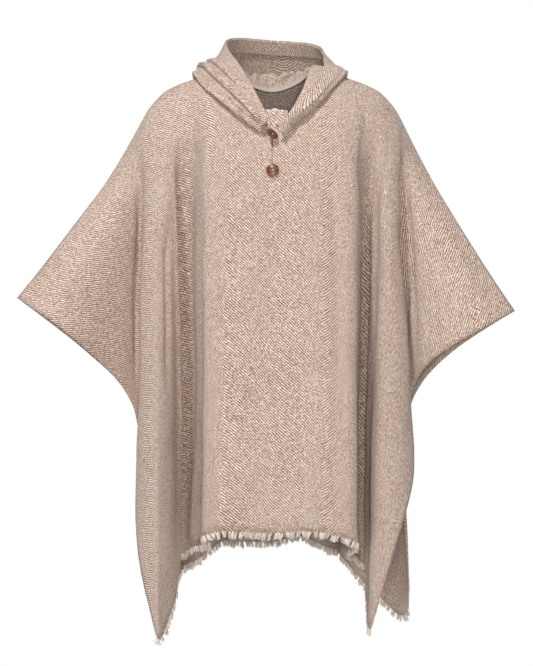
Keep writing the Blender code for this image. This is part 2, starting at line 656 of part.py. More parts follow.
front_table, front_u, front_grid = build_front()
back_table, back_u, back_grid = build_back()
hood_grid, hood_u = build_hood((front_table, back_table), ((front_grid, -1), (back_grid, 1)))
build_hood_hem(hood_grid)
build_placket(front_table, front_u, front_grid)
fringe("fringe_front", front_grid, front_table, front_u, FRONT_LENGTH, 0.0, 3, 0.0021, 0.0022)
fringe("fringe_back", back_grid, back_table, back_u, BACK_LENGTH, 0.015, 5, 0.0030, 0.0019)
button("button_lower", (0.001, -0.1244, -0.1573), (-0.03, -0.99, 0.14))
button("button_upper", (0.001, -0.1175, -0.0914), (0.53, -0.57, 0.63))
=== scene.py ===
# A hooded tweed poncho as worn, with no wearer, seen from the front on white.
# X runs to the viewer's right, Y to the back and Z up, in metres from the shoulder line's middle.
import math

import bpy
import numpy as np
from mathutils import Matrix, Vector
from mathutils.bvhtree import BVHTree


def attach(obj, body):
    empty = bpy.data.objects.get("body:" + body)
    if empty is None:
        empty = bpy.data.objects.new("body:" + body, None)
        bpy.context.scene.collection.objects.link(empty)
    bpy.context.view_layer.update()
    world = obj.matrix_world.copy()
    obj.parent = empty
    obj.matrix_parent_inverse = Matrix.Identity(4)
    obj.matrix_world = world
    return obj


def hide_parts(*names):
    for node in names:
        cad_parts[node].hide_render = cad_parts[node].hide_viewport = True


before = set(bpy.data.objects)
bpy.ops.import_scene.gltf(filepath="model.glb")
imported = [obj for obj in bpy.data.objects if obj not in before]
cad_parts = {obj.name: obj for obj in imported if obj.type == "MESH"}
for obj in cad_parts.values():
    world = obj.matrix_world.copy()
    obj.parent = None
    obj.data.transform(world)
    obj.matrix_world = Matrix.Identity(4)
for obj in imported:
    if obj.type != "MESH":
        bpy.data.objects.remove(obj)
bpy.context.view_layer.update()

# Sizes of the cloth and its trims
WALL = 0.0025            # cloth thickness
GAP = 0.0003             # clearance between sewn pieces
HALF_WIDTH = 0.690       # neck centre to selvedge, along the cloth
FRONT_LENGTH = 0.895     # shoulder line to front hem, along the cloth
BACK_LENGTH = 0.935      # shoulder line to back hem
NECK_HALF = 0.078        # half width of the neck hole
NECK_FRONT = 0.158       # depth of the neck hole in front of the shoulder line
NECK_BACK = 0.066        # depth of the neck hole behind it
SLIT_END = 0.262         # front slit ends here, measured from the shoulder line
BIAS_GIVE = 0.035        # stretch of the front where it hangs on the bias, at its corners
BACK_SPARE = 0.015       # how much wider the back is low on the sleeve
CLOTH = 0.0022           # thickness of the body and hood as drawn, inside the solid wall
HEM_THICK = 0.0018       # thickness of the hood's turned hem
PLACKET_THICK = 0.0019   # thickness of the placket
BUTTON_D = 0.023         # button diameter
BUTTON_T = 0.0036        # button thickness
FLOOR = -1.38            # the floor below the shoulders of a standing adult

# Shoulder line, from the neck centre out
SHOULDER = (
    # along, x, z
    (0.000, 0.000, 0.032),
    (0.078, 0.077, 0.036),
    (0.147, 0.145, 0.019),
    (0.198, 0.192, 0.000),
    (0.227, 0.214, -0.019),
    (0.250, 0.229, -0.037),
    (0.262, 0.235, -0.047),
    (0.272, 0.240, -0.056),
)

# How each stretch of cloth hangs, from the centre out to the arm line.
# start: where its straight line leaves the shoulder line; turn: its angle from straight
# down in the flat cloth; aside and out: where it points, sideways and away from the body;
# deep: how far the chest or back pushes it out; n: columns of faces up to the next row.
FRONT_RIGHT = (
    # name, start, turn, aside, out, deep, n
    ("centre", 0.000, 0.0, 0.000, 0.015, 0.120, 3),
    ("beside the slit", 0.045, 0.0, 0.002, 0.012, 0.120, 3),
    ("soft wave", 0.100, 0.5, 0.008, 0.034, 0.118, 2),
    ("panel edge", 0.148, 2.5, 0.022, 0.030, 0.110, 3),
    ("turn behind the panel", 0.172, 8.0, -0.046, -0.055, 0.096, 3),
    ("recess floor", 0.190, 14.5, -0.014, -0.185, 0.082, 3),
    ("roll inner wall", 0.204, 20.5, -0.020, -0.080, 0.076, 2),
    ("corner", 0.216, 26.5, -0.036, 0.020, 0.070, 2),
    ("roll front", 0.230, 32.5, -0.012, 0.085, 0.065, 2),
    ("roll outer edge", 0.239, 39.5, 0.064, 0.030, 0.060, 3),
    ("pleat behind", 0.243, 50.0, 0.042, -0.070, 0.055, 3),
    ("sleeve crease", 0.247, 60.0, 0.078, -0.022, 0.050, 2),
    ("lower sleeve", 0.252, 69.0, 0.136, 0.110, 0.045, 2),
    ("upper sleeve", 0.257, 79.0, 0.306, 0.210, 0.040, 3),
    ("arm line", 0.263, 90.0, 0.484, 0.210, 0.036, 0),
)
FRONT_LEFT = (
    # name, start, turn, aside, out, deep, n
    ("centre", 0.000, 0.0, 0.000, 0.015, 0.120, 3),
    ("beside the slit", 0.045, 0.0, 0.003, 0.020, 0.120, 3),
    ("panel edge", 0.108, 1.5, 0.036, 0.030, 0.115, 3),
    ("turn behind the panel", 0.136, 6.5, -0.036, -0.040, 0.102, 3),
    ("recess floor", 0.160, 11.5, 0.008, -0.140, 0.088, 3),
    ("roll inner wall", 0.178, 16.0, 0.002, -0.060, 0.080, 2),
    ("roll inner edge", 0.192, 20.5, -0.016, 0.030, 0.074, 2),
    ("corner", 0.212, 25.5, 0.002, 0.095, 0.069, 2),
    ("curl", 0.230, 29.0, -0.010, 0.092, 0.065, 2),
    ("roll outer edge", 0.244, 33.5, 0.036, 0.050, 0.061, 2),
    ("wrap", 0.249, 40.0, 0.026, -0.045, 0.057, 3),
    ("sleeve crease", 0.253, 50.5, 0.034, -0.040, 0.052, 2),
    ("lower sleeve", 0.257, 60.5, 0.113, 0.040, 0.047, 2),
    ("middle sleeve", 0.261, 70.0, 0.244, 0.220, 0.042, 2),
    ("upper sleeve", 0.265, 80.0, 0.400, 0.320, 0.038, 2),
    ("arm line", 0.270, 90.0, 0.526, 0.310, 0.036, 0),
)
BACK_RIGHT = (
    # name, start, turn, aside, out, deep, n
    ("centre", 0.000, 0.0, 0.000, 0.030, 0.125, 3),
    ("first wave", 0.060, 1.0, 0.000, 0.085, 0.122, 3),
    ("first hollow", 0.100, 5.0, 0.004, -0.014, 0.118, 4),
    ("second wave", 0.135, 11.0, -0.006, 0.145, 0.110, 4),
    ("second hollow", 0.165, 16.0, 0.008, 0.005, 0.100, 4),
    ("roll inner wall", 0.198, 21.0, 0.010, 0.145, 0.086, 3),
    ("corner", 0.222, 26.0, 0.058, 0.060, 0.074, 2),
    ("roll outer edge", 0.238, 33.5, 0.036, 0.030, 0.064, 3),
    ("pleat behind", 0.243, 43.0, 0.026, -0.040, 0.058, 3),
    ("sleeve crease", 0.247, 54.0, 0.074, 0.050, 0.050, 3),
    ("lower sleeve", 0.252, 66.0, 0.180, -0.060, 0.045, 2),
    ("upper sleeve", 0.257, 78.0, 0.330, -0.130, 0.040, 2),
    ("arm line", 0.263, 90.0, 0.484, -0.210, 0.036, 0),
)
BACK_LEFT = (
    # name, start, turn, aside, out, deep, n
    ("centre", 0.000, 0.0, 0.000, 0.030, 0.125, 3),
    ("first hollow", 0.060, 1.0, 0.004, -0.010, 0.122, 3),
    ("first wave", 0.100, 4.5, 0.000, 0.100, 0.118, 3),
    ("second hollow", 0.138, 9.5, 0.004, -0.015, 0.110, 4),
    ("second wave", 0.170, 14.5, 0.006, 0.140, 0.100, 4),
    ("roll inner wall", 0.200, 20.0, 0.000, -0.005, 0.086, 3),
    ("corner", 0.226, 26.0, -0.006, 0.145, 0.074, 3),
    ("roll outer edge", 0.244, 33.5, 0.022, 0.040, 0.064, 3),
    ("pleat behind", 0.250, 42.0, 0.022, -0.030, 0.058, 3),
    ("sleeve crease", 0.255, 51.0, 0.044, 0.050, 0.050, 3),
    ("lower sleeve", 0.260, 63.0, 0.160, -0.070, 0.045, 2),
    ("upper sleeve", 0.265, 77.0, 0.370, -0.210, 0.040, 2),
    ("arm line", 0.270, 90.0, 0.526, -0.310, 0.036, 0),
)
ROWS = (0.0, 0.03, 0.07, 0.115, 0.17, 0.24, 0.33, 0.46, 0.62, 0.81, 1.0)

# Sections of the hood, from its right front end round the back to its left front end
HOOD = (
    # name, bearing, fold_x, fold_y, fold_z, rim_x, rim_y, rim_z, lift, belly
    ("right end", -84.0, 0.024, -0.120, -0.098, 0.010, -0.127, -0.082, 0.005, 0.001),
    ("right throat", -68.0, 0.048, -0.116, -0.068, 0.034, -0.122, -0.050, 0.005, 0.003),
    ("right front", -46.0, 0.084, -0.100, -0.036, 0.066, -0.096, -0.016, 0.006, 0.005),
    ("right shoulder", -22.0, 0.122, -0.052, 0.004, 0.090, -0.046, 0.022, 0.007, 0.006),
    ("right side", 8.0, 0.143, 0.012, 0.028, 0.096, 0.022, 0.060, 0.009, 0.010),
    ("right back", 44.0, 0.112, 0.112, -0.060, 0.089, 0.096, 0.097, 0.020, 0.024),
    ("back", 90.0, 0.000, 0.168, -0.165, 0.002, 0.132, 0.107, 0.030, 0.034),
    ("left back", 136.0, -0.118, 0.112, -0.060, -0.087, 0.096, 0.110, 0.020, 0.024),
    ("left side", 172.0, -0.149, 0.010, 0.028, -0.077, 0.046, 0.073, 0.008, 0.010),
    ("left shoulder", 200.0, -0.131, -0.050, 0.004, -0.067, -0.014, 0.055, 0.005, 0.008),
    ("left front", 224.0, -0.096, -0.094, -0.030, -0.043, -0.070, 0.012, 0.005, 0.006),
    ("left throat", 247.0, -0.056, -0.116, -0.062, -0.020, -0.108, -0.034, 0.006, 0.003),
    ("left end", 264.0, -0.022, -0.122, -0.086, -0.006, -0.126, -0.062, 0.005, 0.001),
)
HOOD_AT = (0, 0.7, 1, 1.25, 1.6, 2.1, 2.6, 3, 3.35, 3.65, 4, 4.3, 4.6, 4.9, 5.2, 5.5, 5.75, 6)
FOLD_ROUND = 0.0050       # radius of the hood's lower fold
LAYERS_APART = 0.0085     # least distance between the hood's two layers
HOOD_COLUMNS = 46

# Creases in the body: troughs and ridges between two places on the flat cloth, given as
# metres across from the neck centre and down from the shoulder line; rise is outward.
FRONT_CREASES = (
    # across_1, down_1, across_2, down_2, width, rise
    (-0.196, 0.180, -0.362, 0.880, 0.027, -0.0330),
    (-0.236, 0.200, -0.428, 0.880, 0.013, 0.0110),
    (0.232, 0.200, 0.420, 0.880, 0.025, -0.0220),
    (0.262, 0.200, 0.505, 0.880, 0.014, 0.0080),
    (-0.380, 0.100, -0.640, 0.320, 0.015, -0.0110),
    (0.420, 0.100, 0.630, 0.220, 0.016, -0.0110),
    (-0.060, 0.215, -0.150, 0.420, 0.016, 0.0030),
    (0.058, 0.225, 0.120, 0.460, 0.018, 0.0030),
    (0.112, 0.200, 0.124, 0.880, 0.015, -0.0060),
    (0.086, 0.300, 0.090, 0.880, 0.014, 0.0030),
    (-0.010, 0.330, -0.016, 0.890, 0.022, -0.0024),
    (0.046, 0.420, 0.040, 0.890, 0.017, 0.0024),
    (-0.080, 0.500, -0.070, 0.890, 0.018, 0.0024),
    (0.330, 0.060, 0.560, 0.200, 0.034, -0.0120),
    (0.400, 0.180, 0.620, 0.260, 0.030, -0.0080),
    (0.300, 0.160, 0.450, 0.330, 0.024, 0.0050),
    (-0.320, 0.080, -0.560, 0.240, 0.028, -0.0055),
    (-0.340, 0.190, -0.520, 0.360, 0.024, 0.0035),
    (-0.300, 0.260, -0.420, 0.520, 0.016, -0.0060),
    (0.290, 0.420, 0.380, 0.640, 0.018, 0.0022),
    (-0.270, 0.480, -0.330, 0.780, 0.016, 0.0020),
    (0.180, 0.060, 0.196, 0.240, 0.018, -0.0040),
    (-0.160, 0.060, -0.178, 0.220, 0.020, -0.0040),
)
BACK_CREASES = (
    # across_1, down_1, across_2, down_2, width, rise
    (-0.040, 0.230, -0.110, 0.560, 0.020, 0.0030),
    (0.050, 0.240, 0.130, 0.600, 0.020, -0.0030),
    (0.000, 0.500, 0.010, 0.920, 0.022, 0.0020),
    (0.320, 0.060, 0.560, 0.220, 0.030, -0.0060),
    (-0.330, 0.070, -0.570, 0.210, 0.030, -0.0060),
    (0.300, 0.260, 0.430, 0.540, 0.024, 0.0035),
    (-0.300, 0.240, -0.440, 0.520, 0.024, 0.0035),
)


def spline(rows, at):
    """Values at row numbers, on Catmull-Rom curves: a cubic through each pair of rows whose
    slopes are half the step from the row before to the row after."""
    rows = np.asarray(rows, float)
    last = len(rows) - 1
    at = np.clip(np.atleast_1d(np.asarray(at, float)), 0, last)
    i = np.minimum(at.astype(int), last - 1)
    f = (at - i).reshape((-1,) + (1,) * (rows.ndim - 1))
    a, b = rows[i], rows[i + 1]
    first = (i > 0).reshape(f.shape)
    final = (i < last - 1).reshape(f.shape)
    before = np.where(first, rows[np.maximum(i - 1, 0)], 2 * a - b)
    after = np.where(final, rows[np.minimum(i + 2, last)], 2 * b - a)
    ma, mb = 0.5 * (b - before), 0.5 * (after - a)
    f2, f3 = f * f, f * f * f
    return (2 * f3 - 3 * f2 + 1) * a + (f3 - 2 * f2 + f) * ma + (3 * f2 - 2 * f3) * b + (f3 - f2) * mb


def through(table, u):
    return spline([r[1:] for r in table], u)


def refine(grid, nu, nv):
    """A finer grid on the spline surface through a grid, with nu by nv steps to each cell."""
    a = spline(grid, np.linspace(0, grid.shape[0] - 1, (grid.shape[0] - 1) * nu + 1))
    b = spline(a.swapaxes(0, 1), np.linspace(0, grid.shape[1] - 1, (grid.shape[1] - 1) * nv + 1))
    return b.swapaxes(0, 1)


def smooth(x, low, high):
    f = np.clip((x - low) / (high - low), 0.0, 1.0)
    return f * f * (3 - 2 * f)


def ripple_noise(x, y, seed, scale):
    """Smooth noise from -1 to 1: a sum of twelve sine waves in seeded directions."""
    chance = np.random.default_rng(seed)
    total = np.zeros(np.broadcast(x, y).shape)
    for k in range(12):
        angle, phase = chance.uniform(0, 2 * math.pi, 2)
        wave = 2 * math.pi / (scale * chance.uniform(0.6, 1.9))
        total += np.sin((x * math.cos(angle) + y * math.sin(angle)) * wave + phase)
    return total / 5.0


def shoulder(along):
    """The shoulder line at a signed distance along the cloth."""
    rows = np.array(SHOULDER)
    at = np.interp(np.abs(along), rows[:, 0], np.arange(len(rows)))
    xz = spline(rows[:, 1:], at)
    return np.sign(along) * xz[:, 0], xz[:, 1]


def bend_table():
    """Height lost while the cloth rounds the shoulder, for a unit run."""
    q = np.linspace(0, 1, 201)
    lean = (1 - q) ** 1.5
    lost = 1 - np.sqrt(1 - lean ** 2)
    return q, np.concatenate(([0.0], np.cumsum(0.5 * (lost[1:] + lost[:-1]) * np.diff(q))))


BEND = bend_table()


def joined(left, right):
    """One table from the left arm line to the right, with aside and start signed."""
    mirrored = [(r[0], -r[1], -r[2], -r[3]) + r[4:6] for r in reversed(left)]
    return mirrored[:-1] + [r[:6] for r in right]


def half_at(turn, extra):
    """Neck centre to selvedge; the back is a little wider low on the sleeve."""
    return HALF_WIDTH + extra * (turn < 0) * (1 - np.abs(np.sin(turn))) * np.abs(np.sin(2 * turn))


def reach(table, u, length, extra):
    """Length of the straight line at u, down to the hem or out to the selvedge."""
    c = through(table, u)
    start, turn = c[:, 0], np.radians(c[:, 1])
    to_hem = length / np.maximum(np.cos(turn), 1e-6)
    to_side = (half_at(turn, extra) - np.abs(start)) / np.maximum(np.abs(np.sin(turn)), 1e-6)
    return np.minimum(to_hem, to_side)


def cloth(table, u, r, side):
    """Points of a panel at row numbers u and distances r down the line, side -1 in front:
    each line leaves the shoulder line, rounds the chest or back and then hangs straight."""
    c = through(table, u)
    start, turn, aside, out, deep = c[:, 0], np.radians(c[:, 1]), c[:, 2], c[:, 3], c[:, 4]
    x0, z0 = shoulder(start)
    arm = np.where(start > 0, table[-1][3], -table[0][3])
    plain_x = arm * np.sign(turn) * np.abs(turn / (np.pi / 2)) ** 1.2
    grow = smooth(r, 0.02, 0.24)
    dx = plain_x + (aside - plain_x) * grow
    dy = out * grow * side
    dz = -np.sqrt(np.maximum(1 - dx ** 2 - dy ** 2, 0.01))
    down = r * np.cos(turn)
    run = 2.5 * deep
    q = np.clip(down / run, 0, 1)
    push = deep * (1 - (1 - q) ** 2.5)
    lost = run * np.interp(q, *BEND)
    give = BIAS_GIVE * (side < 0) * np.exp(-((np.abs(turn) - 0.46) / 0.16) ** 2)
    length = r * (1 + give * smooth(r, 0.3, 0.9)) - lost * np.cos(turn)
    sag = 0.015 * np.sin(np.pi * np.clip(r / 0.44, 0, 1)) * np.abs(np.sin(turn)) ** 6
    return np.stack([x0 + dx * length, dy * length + side * (push + 1.5 * GAP), z0 + dz * length - sag], 1)


def neck_depth(start, depth):
    """Depth of the neck hole: round in front and nearly straight across the back."""
    power = 0.50 if depth == NECK_BACK else 0.75
    return depth * np.clip(1 - (start / NECK_HALF) ** 2, 0, 1) ** power


def columns(left, right, length, extra):
    """Row numbers of the grid's columns, with one on each corner of the cloth and neck."""
    table = joined(left, right)
    steps = [r[6] for r in left][:-1][::-1] + [r[6] for r in right][:-1]
    u = [0.0]
    for i, n in enumerate(steps):
        u += [i + k / n for k in range(1, n + 1)]
    u = np.array(u)
    fine = np.linspace(0, len(table) - 1, 4001)
    c = through(table, fine)
    turn, start = np.radians(c[:, 1]), c[:, 0]
    over = np.tan(np.abs(turn)) * length - (half_at(turn, extra) - np.abs(start))
    for sign in (-1, 1):
        ok = (np.sign(c[:, 1]) == sign) & (np.abs(c[:, 1]) < 60) & (np.abs(c[:, 1]) > 10)
        where = fine[ok][np.argmin(np.abs(over[ok]))]
        u[np.argmin(np.abs(u - where))] = where
    for sign in (-1, 1):
        where = fine[np.argmin(np.abs(start - sign * NECK_HALF))]
        u[np.argmin(np.abs(u - where))] = where
    return table, u


def soften(grid, start):
    """Rounds the folds by easing each column toward its neighbours, but not at the neck."""
    free = smooth(np.abs(start), NECK_HALF, 1.3 * NECK_HALF)[1:-1, None, None]
    for turn in range(2):
        ease = 0.25 * (grid[:-2] + grid[2:]) - 0.5 * grid[1:-1]
        ease[:, 0] = 0.0
        grid[1:-1] += free * ease
    return grid


def panel(left, right, length, neck, side, extra):
    """A panel's coarse grid, its flat coordinates (across, down) and its table of folds."""
    table, u = columns(left, right, length, extra)
    c = through(table, u)
    start, turn = c[:, 0], np.radians(c[:, 1])
    first = np.where(np.abs(start) < NECK_HALF, neck_depth(start, neck), 0.0) + GAP / 2
    r = first[:, None] + np.array(ROWS)[None, :] * (reach(table, u, length, extra) - first)[:, None]
    points = [cloth(table, np.full(len(ROWS), u[k]), r[k], side) for k in range(len(u))]
    flat = np.stack([start[:, None] + r * np.sin(turn)[:, None], r * np.cos(turn)[:, None]], 2)
    return table, u, soften(np.array(points), start), flat


def normals(grid):
    """Unit normals of a grid: the cross product of its steps along and down."""
    n = np.cross(np.gradient(grid, axis=0), np.gradient(grid, axis=1))
    return n / np.maximum(np.linalg.norm(n, axis=2), 1e-12)[:, :, None]


def crease_field(flat, table):
    """Height at each flat place: each row adds rise times a bell across its line, which
    fades toward both ends and wanders a little along its length."""
    x, y = flat[:, :, 0], flat[:, :, 1]
    height = np.zeros(x.shape)
    for k, (x1, y1, x2, y2, width, rise) in enumerate(table):
        dx, dy = x2 - x1, y2 - y1
        long = math.hypot(dx, dy)
        along = ((x - x1) * dx + (y - y1) * dy) / long ** 2
        off = ((x - x1) * dy - (y - y1) * dx) / long
        off = off + 0.25 * width * np.sin(along * 7.0 + k)
        ends = smooth(along, -0.15, 0.25) * (1 - smooth(along, 0.75, 1.15))
        height += rise * ends * np.exp(-(off / width) ** 2)
    return height


def tell_mesh(name, points, quads, uv=None, extra=None):
    """A mesh from points and faces, with flat cloth coordinates and other values by vertex."""
    mesh = bpy.data.meshes.new(name)
    mesh.from_pydata(np.asarray(points).reshape(-1, 3).tolist(), [], quads)
    mesh.update()
    if uv is not None:
        layer = mesh.uv_layers.new(name="flat")
        corner = np.empty(len(mesh.loops), np.int32)
        mesh.loops.foreach_get("vertex_index", corner)
        layer.data.foreach_set("uv", np.asarray(uv, np.float32).reshape(-1, 2)[corner].ravel())
    for label, values in (extra or {}).items():
        mesh.attributes.new(label, "FLOAT", "POINT")
        mesh.attributes[label].data.foreach_set("value", np.asarray(values, np.float32).ravel())
    mesh.shade_smooth()
    obj = bpy.data.objects.new(name, mesh)
    bpy.context.collection.objects.link(obj)
    return obj


def grid_quads(nu, nv, turned=False):
    """Four-sided faces of a grid of nu by nv points."""
    i, j = np.meshgrid(np.arange(nu - 1), np.arange(nv - 1), indexing="ij")
    a = (i * nv + j).ravel()
    quads = np.stack([a, a + 1, a + nv + 1, a + nv], 1)
    return (quads[:, ::-1] if turned else quads).tolist()


def thicken(obj, thick):
    """Gives a sheet its thickness, half to each side."""
    mod = obj.modifiers.new("cloth thickness", "SOLIDIFY")
    mod.thickness = thick
    mod.offset = 0.0
    mod.use_even_offset = False
    return obj


def finish_piece(obj, material, slot, *nodes):
    """Dresses a piece: its material, its body and the solids it stands for; its slot is not used."""
    obj.data.materials.append(material)
    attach(obj, "root")
    if nodes:
        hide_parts(*nodes)
    return obj


class Value:
    """A shader value: arithmetic on it adds Math nodes."""

    def __init__(self, shader, socket):
        self.shader, self.socket = shader, socket

    def _math(self, operation, *values, clamp=False):
        node = self.shader.node("ShaderNodeMath", {"operation": operation, "use_clamp": clamp},
                                dict(enumerate(values)))
        return Value(self.shader, node.outputs[0])

    def __add__(self, other):
        return self._math("ADD", self, other)

    def __radd__(self, other):
        return self._math("ADD", other, self)

    def __sub__(self, other):
        return self._math("SUBTRACT", self, other)

    def __rsub__(self, other):
        return self._math("SUBTRACT", other, self)

    def __mul__(self, other):
        return self._math("MULTIPLY", self, other)

    def __rmul__(self, other):
        return self._math("MULTIPLY", other, self)

    def __truediv__(self, other):
        return self._math("DIVIDE", self, other)

    def __abs__(self):
        return self._math("ABSOLUTE", self)

    def sine(self):
        return self._math("SINE", self)

    def floor(self):
        return self._math("FLOOR", self)

    def below(self, limit):
        return self._math("LESS_THAN", self, limit)

    def capped(self):
        return self._math("ADD", self, 0.0, clamp=True)

    def ramp(self, low, high):
        node = self.shader.node("ShaderNodeMapRange", {"interpolation_type": "SMOOTHSTEP"},
                                {"Value": self, "From Min": low, "From Max": high})
        return Value(self.shader, node.outputs[0])


class Shader:
    """A material with one surface shader, built node by node."""

    def __init__(self, name):
        self.material = bpy.data.materials.new(name)
        self.material.use_nodes = True
        self.tree = self.material.node_tree
        self.surface = self.tree.nodes["Principled BSDF"]

    def node(self, kind, settings=None, inputs=None):
        made = self.tree.nodes.new(kind)
        for key, value in (settings or {}).items():
            setattr(made, key, value)
        for key, value in (inputs or {}).items():
            self.join(value, made.inputs[key])
        return made

    def join(self, value, socket):
        if isinstance(value, Value):
            value = value.socket
        if isinstance(value, bpy.types.NodeSocket):
            self.tree.links.new(value, socket)
        else:
            socket.default_value = value

    def set(self, **inputs):
        for key, value in inputs.items():
            self.join(value, self.surface.inputs[key.replace("_", " ").title()])

    def flat_place(self):
        """Places on the flat cloth, in metres: across and down."""
        uv = self.node("ShaderNodeUVMap", {"uv_map": "flat"})
        parts = self.node("ShaderNodeSeparateXYZ", None, {0: uv.outputs[0]})
        return Value(self, parts.outputs[0]), Value(self, parts.outputs[1]), uv.outputs[0]

    def attribute(self, name):
        return Value(self, self.node("ShaderNodeAttribute", {"attribute_name": name}).outputs["Fac"])

    def vector(self, x, y, z=0.0):
        return self.node("ShaderNodeCombineXYZ", None, {0: x, 1: y, 2: z}).outputs[0]

    def noise(self, place, scale, detail=2.0, rough=0.5):
        node = self.node("ShaderNodeTexNoise", None,
                         {"Vector": place, "Scale": scale, "Detail": detail, "Roughness": rough})
        return Value(self, node.outputs[0])

    def mix(self, share, a, b):
        """A colour between a and b: inputs 6 and 7 and output 2 are the Mix node's colours."""
        return self.node("ShaderNodeMix", {"data_type": "RGBA"},
                         {"Factor": share, 6: a, 7: b}).outputs[2]

    def bump(self, height, distance, strength):
        inputs = {"Height": height, "Distance": distance, "Strength": strength}
        return self.node("ShaderNodeBump", None, inputs).outputs[0]


# Yarn colours
CREAM = (0.86, 0.780, 0.690, 1)
BEIGE = (0.54, 0.385, 0.295, 1)
BROWN = (0.270, 0.125, 0.082, 1)
RAW = (0.86, 0.80, 0.72, 1)
STRIPE_AT, STRIPE_HALF = 0.112, 0.022   # the stripe where the ribs turn back, across the front
FLOAT = 0.0046                          # length of a float along its rib


def tweed(name, broken=True, pitch=0.0054, lighter=0.0):
    """Twill of cream and pinkish brown wool: ribs run down to the right across the flat
    cloth, each rib made of short floats, with one broken stripe where they turn back."""
    s = Shader(name)
    across, down, place = s.flat_place()
    drift = s.noise(place, 42.0, 2.0) - 0.5
    slub = s.noise(place, 300.0, 2.0, 0.55) - 0.5
    loose = s.noise(place, 110.0, 1.0) - 0.5
    turned = 1.0
    if broken:
        stripe = abs(across - STRIPE_AT + drift * 0.012).below(STRIPE_HALF)
        turned = 1.0 - stripe * 2.0
    line = (down - across * turned) / pitch + drift * 0.6 + loose * 0.9 + slub * 0.85
    rib = (line * (2 * math.pi)).sine() * 0.5 + 0.5
    run = (down + across * turned) / FLOAT + line.floor() * 0.5 + slub * 1.2
    float_ = (run * (2 * math.pi)).sine() * 0.5 + 0.5
    speck = s.noise(s.vector(line * 1.7, run * 0.9, 0.0), 1.0, 2.0, 0.7)
    yarn = s.noise(s.vector(line.floor() * 3.7, run.floor() * 1.9, 0.3), 1.0, 0.0)
    light = (rib * 0.76 + float_ * 0.36 + (speck - 0.5) * 1.9 + (yarn - 0.5) * 0.7 - 0.15).capped()
    cloudy = s.noise(place, 9.0, 3.0)
    body = s.mix(light.ramp(0.10, 0.52), BROWN, BEIGE)
    body = s.mix(light.ramp(0.42, 0.92), body, CREAM)
    body = s.mix((cloudy - 0.5) * 0.22 + (0.06 + lighter), body, CREAM)
    edge = s.attribute("raw edge")
    body = s.mix(edge * (0.35 + slub * 0.8), body, RAW)
    relief = rib * 0.6 + float_ * 0.25 + speck * 0.5
    s.set(base_color=body, roughness=0.92, normal=s.bump(relief, 0.0009, 0.85))
    s.surface.inputs["Sheen Weight"].default_value = 0.25
    s.surface.inputs["Sheen Roughness"].default_value = 0.55
    s.surface.inputs["Sheen Tint"].default_value = (0.95, 0.90, 0.86, 1)
    s.surface.inputs["Specular IOR Level"].default_value = 0.18
    return s.material


def fringe_wool():
    """Loose yarn ends: cream with some pinkish brown threads, by strand, with painted shade near the root
    where each strand leaves the hem.
    """
    s = Shader("fringe wool")
    strand = s.attribute("strand")
    down = s.attribute("down the strand")
    coat = s.node("ShaderNodeTexCoord").outputs["Object"]
    fleck = s.noise(coat, 900.0, 2.0)
    tone = s.mix(strand.ramp(0.55, 0.98), (0.88, 0.80, 0.72, 1), (0.50, 0.33, 0.25, 1))
    tone = s.mix((fleck - 0.4) * 0.9, tone, (0.92, 0.87, 0.80, 1))
    # painted shade: darker near the root of each strand, where it leaves the hem
    tone = s.mix(1.0 - down.ramp(0.0, 0.25), tone, (0.60, 0.47, 0.38, 1))
    s.set(base_color=tone, roughness=0.9, normal=s.bump(fleck, 0.0004, 0.6))
    s.surface.inputs["Sheen Weight"].default_value = 0.2
    return s.material


def horn():
    """Polished dark amber: cloudy brown with golden streaks across it."""
    s = Shader("amber horn")
    coat = s.node("ShaderNodeTexCoord").outputs["Object"]
    stretch = s.node("ShaderNodeMapping", None, {"Vector": coat, "Rotation": (0.2, 0.5, 0.3),
                                                 "Scale": (0.35, 1.0, 1.6)}).outputs[0]
    cloud = s.noise(stretch, 190.0, 4.0, 0.6)
    streak = s.noise(stretch, 420.0, 3.0, 0.55)
    tone = s.mix(cloud.ramp(0.35, 0.68), (0.034, 0.010, 0.004, 1), (0.22, 0.064, 0.016, 1))
    tone = s.mix(streak.ramp(0.56, 0.74), tone, (0.76, 0.34, 0.07, 1))
    s.set(base_color=tone, roughness=0.34)
    s.surface.inputs["Coat Weight"].default_value = 0.35
    s.surface.inputs["Coat Roughness"].default_value = 0.2
    return s.material


def thread():
    """Cream sewing thread with its twist."""
    s = Shader("button thread")
    coat = s.node("ShaderNodeTexCoord").outputs["Object"]
    twist = s.noise(coat, 2600.0, 1.0)
    s.set(base_color=s.mix(twist, (0.62, 0.54, 0.46, 1), (0.90, 0.86, 0.80, 1)), roughness=0.8)
    return s.material


TWEED = tweed("tweed body")
TWEED_HOOD = tweed("tweed hood", broken=False)
TWEED_INSIDE = tweed("tweed hem and placket", broken=False, pitch=0.0068, lighter=0.05)
FRINGE = fringe_wool()
HORN = horn()
THREAD = thread()

# The woven rectangle: front and back panels
FINE_U, FINE_V = 4, 8
front_table, front_u, front_grid, front_flat = panel(
    FRONT_LEFT, FRONT_RIGHT, FRONT_LENGTH, NECK_FRONT, -1, 0.0)
back_table, back_u, back_grid, back_flat = panel(
    BACK_LEFT, BACK_RIGHT, BACK_LENGTH, NECK_BACK, 1, BACK_SPARE)


def dressed(grid, flat, creases, side, seed):
    """A panel's fine grid with its creases, small swellings and a slightly uneven hem."""
    fine, where = refine(grid, FINE_U, FINE_V), refine(flat, FINE_U, FINE_V)
    out = normals(fine)
    out *= np.sign(np.median(out[:, :, 1])) * side
    x, y = where[:, :, 0], where[:, :, 1]
    height = crease_field(where, creases)
    height += 0.0012 * ripple_noise(x, y, seed, 0.16) + 0.0004 * ripple_noise(x, y, seed + 1, 0.045)
    height *= smooth(y, 0.0, 0.06)
    return fine + out * height[:, :, None], where


SLIT_FADE = 0.05                     # the slit's edges come together over this length
RIGHT_LIP = (0.0009, 0.0010, 0.0)    # how far each edge of the slit is moved
LEFT_LIP = (-0.0007, -0.0014, 0.0)


